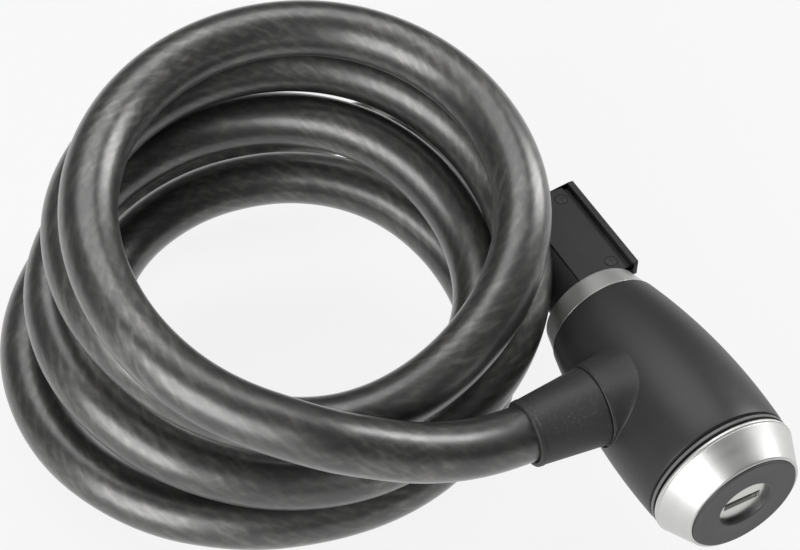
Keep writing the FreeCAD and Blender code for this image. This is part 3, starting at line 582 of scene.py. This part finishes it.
# %% Sleeve, rings and face
show("sleeve", turned_skin("sleeve", [
    (6.1, 20.3, 0.0), (6.1, 32.4, 0.25), (7.1, 32.4, 0.3), (7.2, 31.4, 0.1), (7.1, 31.1, 0.1),
    (8.5, 16.85, 0.35), (5.3, 16.85, 0.1), (5.3, 20.3, 0.0)], BOSS_AXIS, 120),
    sleeve_plastic, "head", ["cable_sleeve"])
show("front_ring_skin", turned_skin("front_ring_skin", [
    (12.2, 0.4, 0.1), (12.8, 0.4, 0.3), (16.0, 7.0, 0.1), (15.9, 7.15, 0.06), (16.2, 7.3, 0.1),
    (16.2, 7.9, 0.2), (FRONT_BORE, 7.9, 0.1), (FRONT_BORE, 2.6, 0.1), (12.2, 2.6, 0.1)], around=220),
    ring_metal, "head", ["front_ring"])
show("rear_ring_skin", turned_skin("rear_ring_skin", [
    (5.3, 53.1, 0.1), (12.7, 53.1, 0.12), (12.55, 53.8, 0.1), (11.4, 58.5, 0.35), (5.3, 58.5, 0.2)], around=200),
    ring_metal, "head", ["rear_ring"])
show("face", turned_skin("face", [
    (5.8, 2.2, 0.0), (5.8, 0.0, 0.55), (12.1, 0.0, 0.35), (12.1, 2.2, 0.1)], around=200),
    face_coating, "head", ["face_cap"])

# %% [markdown]
# The plug on the free end has a round moulded body, a collar cut flush on the cable's side, and a flat shoe
# with a raised rail that slides into a bracket on the bicycle. They are outlines pushed along the barrel.

# %% Plug and shoe
PLUG_START, PLUG_END, SHOE_END = 58.8, 91.8, 86.6
COLLAR_RADIUS, COLLAR_LENGTH = 10, 2.4
SHOE_LEFT, SHOE_RIGHT, SHOE_TOP, RAIL_LEFT, RAIL_TOP = -2.6, 11.4, 8.0, 9.85, 8.9
plug_body = show("plug_body", turned_skin("plug_body", [
    (5.6, PLUG_START, 0.1), (8.0, PLUG_START, 0.3), (8.0, 85.8, 0.8), (7.2, PLUG_END, 0.5), (3.6, PLUG_END, 0.2),
    (3.6, 81.4, 0.1), (5.6, 81.4, 0.1)], around=120), shoe_plastic, "plug", ["plug_sleeve"])
sweep = np.linspace(math.asin(6.35 / COLLAR_RADIUS), -math.acos(SHOE_LEFT / COLLAR_RADIUS), 40)
collar_corners = ([(SHOE_LEFT, 6.35, 0.1)]
                  + [(COLLAR_RADIUS * math.cos(t), COLLAR_RADIUS * math.sin(t), 0.0) for t in sweep[:-1]]
                  + [(SHOE_LEFT, -9.65, 0.3)])
collar = show("plug_collar", pushed_skin("plug_collar", collar_corners, PLUG_START, PLUG_START + COLLAR_LENGTH, 0.25),
              shoe_plastic, "plug")
saddle = show("plug_saddle", pushed_skin("plug_saddle", [
    (-2.55, 6.4, 0.1), (9.8, 6.4, 0.2), (9.8, 0.3, 0.6), (7.6, 0.3, 0.2), (4.5, 5.9, 0.5), (-2.55, 5.9, 0.2)],
    PLUG_START + 0.2, SHOE_END, 0.3), shoe_plastic, "plug")
shoe = show("shoe", pushed_skin("shoe", [
    (SHOE_LEFT, 6.45, 0.15), (SHOE_LEFT, SHOE_TOP, 0.3), (8.55, SHOE_TOP, 0.15), (8.55, 7.2, 0.1),
    (RAIL_LEFT, 7.2, 0.1), (RAIL_LEFT, RAIL_TOP, 0.25), (SHOE_RIGHT, RAIL_TOP, 0.35), (SHOE_RIGHT, 4.8, 0.3),
    (RAIL_LEFT, 4.8, 0.2), (RAIL_LEFT, 6.45, 0.1)],
    PLUG_START, SHOE_END, 0.35), shoe_plastic, "plug", ["mounting_shoe"])

# %% [markdown]
# Two small screws hold the shoe. Each head is a shallow dome with a cross recess, a surface over radius and
# angle. A thin near-black ring round it is painted shade: the dark gap of the sink.

# %% Screws
SCREW_PLACE, SCREW_STATIONS = 6.5, (62.2, 83.2)
SCREW_TOP, SCREW_RADIUS = 8.06, 1.3
RECESS_DEPTH, RECESS_HALF_WIDTH, RECESS_REACH = 0.35, 0.26, 0.85


def screw_skin(name, x, y, top, radius):
    """Height over (rho, phi): top - dome rho^2 - recess where a thin cross covers the point."""
    rho = np.linspace(0, 1, 26)[:, None]
    phi = np.linspace(0, 2 * math.pi, 96, endpoint=False)[None, :]
    px, py = radius * rho * np.cos(phi), radius * rho * np.sin(phi)
    arm = np.minimum(np.abs(px), np.abs(py))
    out = np.maximum(np.abs(px), np.abs(py))
    recess = (RECESS_DEPTH * np.clip((RECESS_HALF_WIDTH - arm) / 0.08, 0, 1)
              * np.clip((RECESS_REACH - out) / 0.12, 0, 1))
    height = top - 0.12 * rho**2 - recess
    dome = np.stack([x + px, y + py, height], -1)
    skirt = dome[-1:].copy()
    skirt[..., 2] = top - 0.8
    foot = skirt.copy()
    foot[..., :2] = (x, y)
    return skin(name, np.concatenate([dome, skirt, foot]) * MM)


for i, y in enumerate(SCREW_STATIONS, start=1):
    show("screw_%d" % i, screw_skin("screw", SCREW_PLACE, y, SCREW_TOP, SCREW_RADIUS), black_screw, "plug",
         ["shoe_screws"])
    # A thin near-black ring round each head: painted shade of the gap in the sink.
    sink_shade_axis = ((SCREW_PLACE, y, 0), (0, 0, 1), (1, 0, 0), (0, 1, 0))
    show("screw_rim_%d" % i, turned_skin("screw_rim", [
        (1.36, 7.9, 0.02), (1.36, 8.05, 0.03), (1.46, 8.04, 0.03), (1.5, 7.9, 0.02)], sink_shade_axis, 64),
        band_and_sink_shade, "plug")

# %% [markdown]
# The locking pin shows when the plug is pulled out: a polished steel pin with a rounded nose and the groove
# that the latch drops into. What is left of the solids has the right shape already, so those nodes keep their
# meshes and only get a finish.

# %% Locking pin and carried nodes
PIN_TIP, PIN_RADIUS, GROOVE_RADIUS, SHANK_RADIUS = 33.5, 5.0, 3.1, 5.5
pin = show("pin_skin", turned_skin("pin_skin", [
    (0.02, PIN_TIP, 0.0), (4.0, PIN_TIP, 0.4), (PIN_RADIUS, 34.5, 0.4), (PIN_RADIUS, 39.6, 0.25),
    (GROOVE_RADIUS, 39.6, 0.3), (GROOVE_RADIUS, 43.4, 0.3), (PIN_RADIUS, 43.4, 0.25), (PIN_RADIUS, 61.2, 0.0),
    (SHANK_RADIUS, 61.2, 0.2), (SHANK_RADIUS, 81.2, 0.3), (0.02, 81.2, 0.0)], around=96),
    hard_steel, "plug", ["locking_pin"])
CARRIED = {
    cast_alloy: ["lock_housing", "drive_cam"],
    cylinder_brass: ["cylinder_shell", "sidebar", "disc_spacers"] + ["code_disc_%d" % i for i in range(1, 8)],
    bright_plate: ["key_plug", "dust_shutter"],
    hard_steel: ["cylinder_pin", "shutter_pin", "ferrule_pin", "latch", "fixed_ferrule"],
    strand_steel: ["free_core", "fixed_core"],
}
for finish, names in CARRIED.items():
    for name in names:
        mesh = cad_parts[name].data
        mesh.materials.clear()
        mesh.materials.append(finish)
print("carried nodes", sum(len(names) for names in CARRIED.values()))

# %% [markdown]
# The cable is a stiff cord that leaves the sleeve's mouth and ends in the plug. Here only the length of the
# drawn coil, without its tail, is printed.

# %% Cord
print("cord declared, drawn %.3f m long without its tail" % length_of(coil_line))

# %% [markdown]
# The photograph has a white ground with hardly any shadow. A shadow catcher would need compositing, so the
# floor is pale and shows the camera mostly its own white, with a share of the shadow left. The world gives
# the same weak light from all round.

# %% Floor and world
FLOOR_WHITE = 0.86                   # share of the floor that is its own white to the camera
FLOOR_GAP = 0.0012                   # from the floor up to the lowest turn
FLOOR_REACH = 4.0
WORLD_STRENGTH = 0.12


def seen_by_eye(f):
    """1 for rays from the camera, also by way of a mirror or through clear stuff, and 0 for other rays."""
    camera_ray, glossy, through = [f.node("ShaderNodeLightPath", output="Is %s Ray" % kind)
                                   for kind in ("Camera", "Glossy", "Transmission")]
    return (camera_ray + glossy + through).clamp()


def ground_finish():
    """Mix of a plain pale surface and a white glow, by who looks."""
    f = Finish("ground", base_color=0.5, roughness=0.9)
    glow = f.node("ShaderNodeEmission", sockets={"Color": (1, 1, 1, 1), "Strength": 1.0})
    surface = Wire(f, f.shader.outputs[0])
    mixed = f.node("ShaderNodeMixShader", sockets={0: seen_by_eye(f) * FLOOR_WHITE, 1: surface, 2: glow})
    f.tree.links.new(mixed.socket, f.tree.nodes["Material Output"].inputs["Surface"])
    return f.material


floor_level = -AXIS_LIFT * MM - FLOOR_GAP
floor_mesh = bpy.data.meshes.new("floor")
floor_mesh.from_pydata([(a * FLOOR_REACH, b * FLOOR_REACH, floor_level)
                        for a, b in ((-1, -1), (1, -1), (1, 1), (-1, 1))], [], [(0, 1, 2, 3)])
floor_mesh.materials.append(ground_finish())
floor = bpy.data.objects.new("floor", floor_mesh)
scene.collection.objects.link(floor)

world = bpy.data.worlds.new("studio")
world.use_nodes = True
scene.world = world
sky = world.node_tree.nodes["Background"]
sky.inputs["Color"].default_value = (1, 1, 1, 1)
sky.inputs["Strength"].default_value = WORLD_STRENGTH
print("floor at %.4f m" % floor_level)

# %% [markdown]
# Three soft boxes light the lock: a broad one low at the front left, one at the right and one overhead. The
# left one draws the long highlight along the barrel, and the top one the lines on the turns of the cable.


# %% Soft boxes
def soft_box(name, place, aim, width, height, power):
    """Rectangular lamp that faces what it aims at, in metres and watts."""
    light = bpy.data.lights.new(name, "AREA")
    light.shape = "RECTANGLE"
    light.size, light.size_y = width, height
    light.energy = power
    thing = bpy.data.objects.new(name, light)
    thing.location = place
    thing.rotation_euler = (Vector(aim) - Vector(place)).to_track_quat("-Z", "Y").to_euler()
    scene.collection.objects.link(thing)
    print(name, power, "W")


MIDDLE = (-0.04, 0.08, 0.0)
soft_box("box_left", (-0.85, -0.38, 0.4), MIDDLE, 0.7, 0.8, 11)
soft_box("box_right", (0.9, 0.1, 0.5), MIDDLE, 0.36, 0.7, 7)
soft_box("box_top", (0.0, 0.5, 1.1), MIDDLE, 1.1, 0.7, 7.5)
